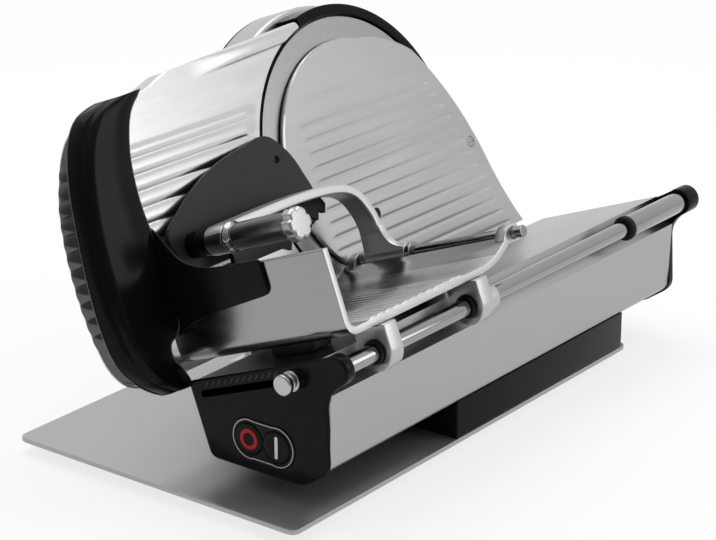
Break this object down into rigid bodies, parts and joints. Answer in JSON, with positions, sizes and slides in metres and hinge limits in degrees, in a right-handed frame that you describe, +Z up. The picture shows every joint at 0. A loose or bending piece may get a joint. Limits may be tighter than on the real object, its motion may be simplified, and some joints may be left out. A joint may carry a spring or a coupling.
{
  "type": "food slicer",
  "caption": "Gravity-feed food slicer with a leaning round blade, sliding food tray with hand guard and lifting pusher, adjustable thickness plate, switch and thickness knob.",
  "frame": {"origin": "middle of the bounding box in plan, on the surface that the feet stand on", "axes": "+X to the operator's right, +Y away from the operator along the tray's stroke, +Z up"},
  "size_m": [0.3352, 0.5812, 0.3138],
  "materials": {
    "satin_steel": "satin",
    "blade_steel": "ground",
    "chrome": "polished",
    "brushed_aluminium": "brushed",
    "polished_aluminium": "polished",
    "gloss_black": "gloss",
    "matt_black": "matt",
    "dark_grey": "satin",
    "rubber": "matt"
  },
  "bodies": {
    "base": {"base_plate": "satin_steel", "foot_front_left": "rubber", "foot_front_right": "rubber", "foot_rear_left": "rubber", "foot_rear_right": "rubber", "pedestal": "matt_black", "body": "brushed_aluminium", "front_cap": "gloss_black", "rear_cap": "gloss_black", "guide_rod": "chrome", "rod_sleeve": "chrome", "rod_bumper": "rubber", "cord_gland": "matt_black", "switch_plate": "dark_grey", "blade_bearing": "blade_steel", "motor": "matt_black", "drive_belt": "rubber", "blade_housing": "polished_aluminium", "housing_back": "matt_black", "housing_stand": "polished_aluminium", "ring_guard": "gloss_black", "blade_cover": "polished_aluminium", "cover_screw": "blade_steel", "gauge_rail": "matt_black"},
    "carriage": {"tray": "polished_aluminium", "pusher_rod": "chrome", "bearing_block_front": "polished_aluminium", "bearing_block_rear": "polished_aluminium", "bush_front": "matt_black", "bush_rear": "matt_black", "slide_shoe_front": "matt_black", "slide_shoe_rear": "matt_black", "hand_guard": "gloss_black"},
    "pusher_slider": {"pusher_sleeve": "matt_black"},
    "pusher": {"pusher_arm": "brushed_aluminium", "pusher_plate": "dark_grey", "spike_plate": "matt_black", "handle_spacer": "dark_grey", "handle_collar": "chrome", "handle_grip": "chrome"},
    "star_knob": {"handle_knob": "polished_aluminium"},
    "gauge": {"gauge_plate": "polished_aluminium", "gauge_bracket": "brushed_aluminium", "push_rod": "satin_steel"},
    "thickness": {"thickness_knob": "chrome", "thickness_slider": "matt_black"},
    "blade_rotor": {"blade": "blade_steel", "blade_shaft": "blade_steel", "blade_pulley": "brushed_aluminium"},
    "motor_rotor": {"motor_pulley": "brushed_aluminium"},
    "off": {"off_button": "matt_black"},
    "on": {"on_button": "matt_black"}
  },
  "joints": [
    {"name": "carriage_slide", "type": "slide", "parent": "base", "child": "carriage", "axis": [0, 1, 0], "range_m": [-0.026, 0.19]},
    {"name": "pusher_slide", "type": "slide", "parent": "carriage", "child": "pusher_slider", "axis": [0.9348, 0, 0.3551], "range_m": [0, 0.095]},
    {"name": "pusher_lift", "type": "hinge", "parent": "pusher_slider", "child": "pusher", "pos_m": [-0.02821, 0.00904, 0.10816], "axis": [-0.9348, 0, -0.3551], "range_deg": [0, 105]},
    {"name": "star_knob_turn", "type": "hinge", "parent": "pusher", "child": "star_knob", "pos_m": [-0.05183, -0.17296, 0.17032], "axis": [0.9348, 0, 0.3551], "range_deg": [0, 180]},
    {"name": "gauge_slide", "type": "slide", "parent": "base", "child": "gauge", "axis": [0.9348, 0, 0.3551], "range_m": [-0.016, 0]},
    {"name": "thickness_slide", "type": "slide", "parent": "base", "child": "thickness", "axis": [0.9348, 0, 0.3551], "range_m": [-0.088, 0]},
    {"name": "blade_spin", "type": "hinge", "parent": "base", "child": "blade_rotor", "pos_m": [-0.05839, 0.07104, 0.18762], "axis": [0.9348, 0, 0.3551], "continuous": true},
    {"name": "motor_spin", "type": "hinge", "parent": "base", "child": "motor_rotor", "pos_m": [-0.0307, 0.15904, 0.1147], "axis": [0.9348, 0, 0.3551], "continuous": true},
    {"name": "off_press", "type": "slide", "parent": "base", "child": "off", "axis": [0, 1, 0], "range_m": [0, 0.0015], "stiffness_N_per_m": 1500},
    {"name": "on_press", "type": "slide", "parent": "base", "child": "on", "axis": [0, 1, 0], "range_m": [0, 0.0015], "stiffness_N_per_m": 1500}
  ],
  "couplings": [
    {"joint": "thickness_slide", "follows": "gauge_slide", "ratio": 5.5},
    {"joint": "motor_spin", "follows": "blade_spin", "ratio": 3.2143}
  ]
}
